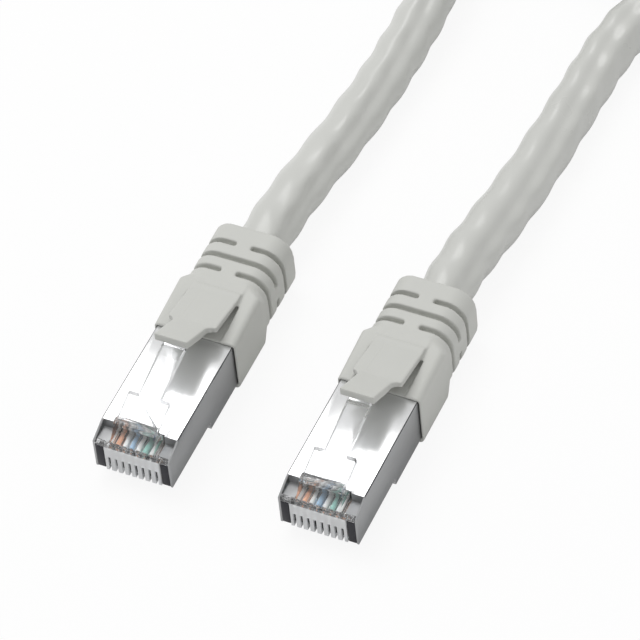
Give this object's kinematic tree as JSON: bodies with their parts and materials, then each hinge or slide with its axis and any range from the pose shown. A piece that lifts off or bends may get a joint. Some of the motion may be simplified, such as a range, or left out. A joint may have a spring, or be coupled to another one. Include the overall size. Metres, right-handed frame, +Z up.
{
  "type": "patch cable",
  "caption": "Shielded network patch cable: modular plugs with clear housings, sprung latches and moulded boots on a coiled round lead.",
  "frame": {"origin": "on the ground plane, midway between the two plug ends as they lie side by side, halfway along their 41 mm from nose to boot rear", "axes": "+Z up from the table through the latch side, -Y the way the noses point and plug in, +X towards plug end a"},
  "size_m": [0.0844, 0.1937, 0.0156],
  "materials": {
    "clear_plastic": "clear moulded polycarbonate",
    "gold_contact": "gold plated stamped blades",
    "nickel_shield": "nickel plated folded sheet",
    "white_plastic": "plain moulded plastic",
    "boot_grey": "satin moulded soft plastic",
    "jacket_grey": "satin extruded jacket",
    "braid_metal": "tinned braid",
    "copper": "bare copper",
    "core_white": "core insulation",
    "core_orange": "core insulation",
    "core_green": "core insulation",
    "core_blue": "core insulation",
    "core_brown": "core insulation",
    "tie_black": "hook and loop strap"
  },
  "bodies": {
    "cable_body": {"housing_a": "clear_plastic", "contacts_a": "gold_contact", "shield_a": "nickel_shield", "load_bar_a": "white_plastic", "boot_a": "boot_grey", "crimp_sleeve_a": "nickel_shield", "jacket_end_a": "jacket_grey", "screen_a": "braid_metal", "separator_a": "white_plastic", "drain_wire_a": "braid_metal", "conductors_a": "copper", "wires_white_a": "core_white", "wire_orange_a": "core_orange", "wire_green_a": "core_green", "wire_blue_a": "core_blue", "wire_brown_a": "core_brown", "housing_b": "clear_plastic", "contacts_b": "gold_contact", "shield_b": "nickel_shield", "load_bar_b": "white_plastic", "boot_b": "boot_grey", "crimp_sleeve_b": "nickel_shield", "jacket_end_b": "jacket_grey", "screen_b": "braid_metal", "separator_b": "white_plastic", "drain_wire_b": "braid_metal", "conductors_b": "copper", "wires_white_b": "core_white", "wire_orange_b": "core_orange", "wire_green_b": "core_green", "wire_blue_b": "core_blue", "wire_brown_b": "core_brown", "cable_tail_a": "jacket_grey", "cable_tail_b": "jacket_grey", "cable_coil": "jacket_grey", "coil_tie": "tie_black"},
    "latch_body_a": {"latch_a": "clear_plastic"},
    "guard_body_a": {"latch_guard_a": "boot_grey"},
    "latch_body_b": {"latch_b": "clear_plastic"},
    "guard_body_b": {"latch_guard_b": "boot_grey"}
  },
  "joints": [
    {"name": "guard_press_a", "type": "hinge", "parent": "cable_body", "child": "guard_body_a", "pos_m": [0.014, 0.0081, 0.0097], "axis": [1, 0, 0], "range_deg": [0, 12], "stiffness_Nm_per_rad": 0.02},
    {"name": "latch_press_a", "type": "hinge", "parent": "cable_body", "child": "latch_body_a", "pos_m": [0.014, -0.0181, 0.0099], "axis": [-1, 0, 0], "range_deg": [0, 12], "stiffness_Nm_per_rad": 0.02},
    {"name": "guard_press_b", "type": "hinge", "parent": "cable_body", "child": "guard_body_b", "pos_m": [-0.014, 0.0081, 0.0097], "axis": [1, 0, 0], "range_deg": [0, 12], "stiffness_Nm_per_rad": 0.02},
    {"name": "latch_press_b", "type": "hinge", "parent": "cable_body", "child": "latch_body_b", "pos_m": [-0.014, -0.0181, 0.0099], "axis": [-1, 0, 0], "range_deg": [0, 12], "stiffness_Nm_per_rad": 0.02}
  ],
  "couplings": [
    {"joint": "latch_press_a", "follows": "guard_press_a", "ratio": 1},
    {"joint": "latch_press_b", "follows": "guard_press_b", "ratio": 1}
  ]
}
